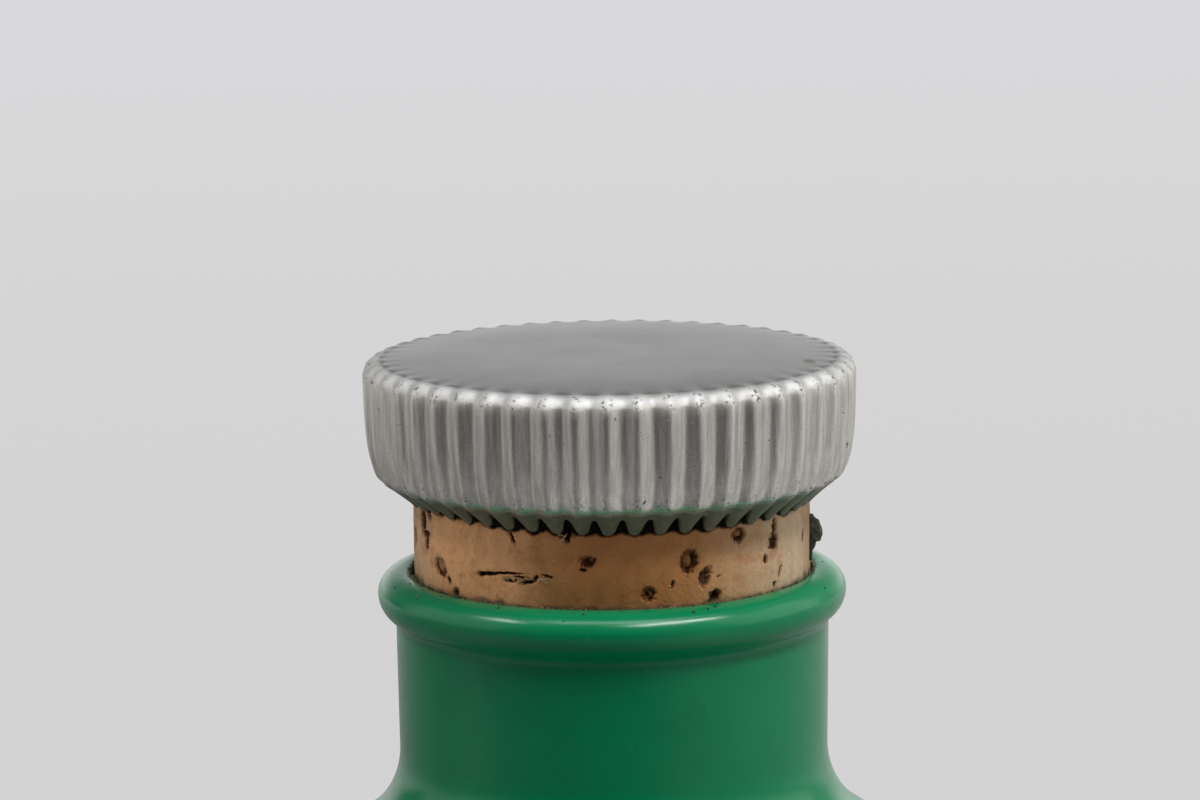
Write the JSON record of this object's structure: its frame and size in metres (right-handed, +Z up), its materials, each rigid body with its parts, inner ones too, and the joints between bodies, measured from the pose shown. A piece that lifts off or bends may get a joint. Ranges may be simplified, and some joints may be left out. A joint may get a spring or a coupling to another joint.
{
  "type": "water bottle",
  "caption": "Round green plastic water bottle with a rolled lip, a cork stopper and a fluted aluminium cap over the cork.",
  "frame": {"origin": "centre of the flat base", "axes": "+Z up along the bottle's axis, -Y the front, +X to the right seen from the front"},
  "size_m": [0.073, 0.073, 0.2],
  "materials": {
    "green_plastic": "glossy moulded plastic, deep green",
    "cork": "natural cork, vertical streaks, open pores",
    "cap_metal": "satin aluminium, worn and pitted in the flutes",
    "dark_cork": "dirty dark cork"
  },
  "bodies": {
    "root": {"bottle": "green_plastic", "cork": "cork", "cap": "cap_metal", "chip": "dark_cork"}
  },
  "joints": []
}
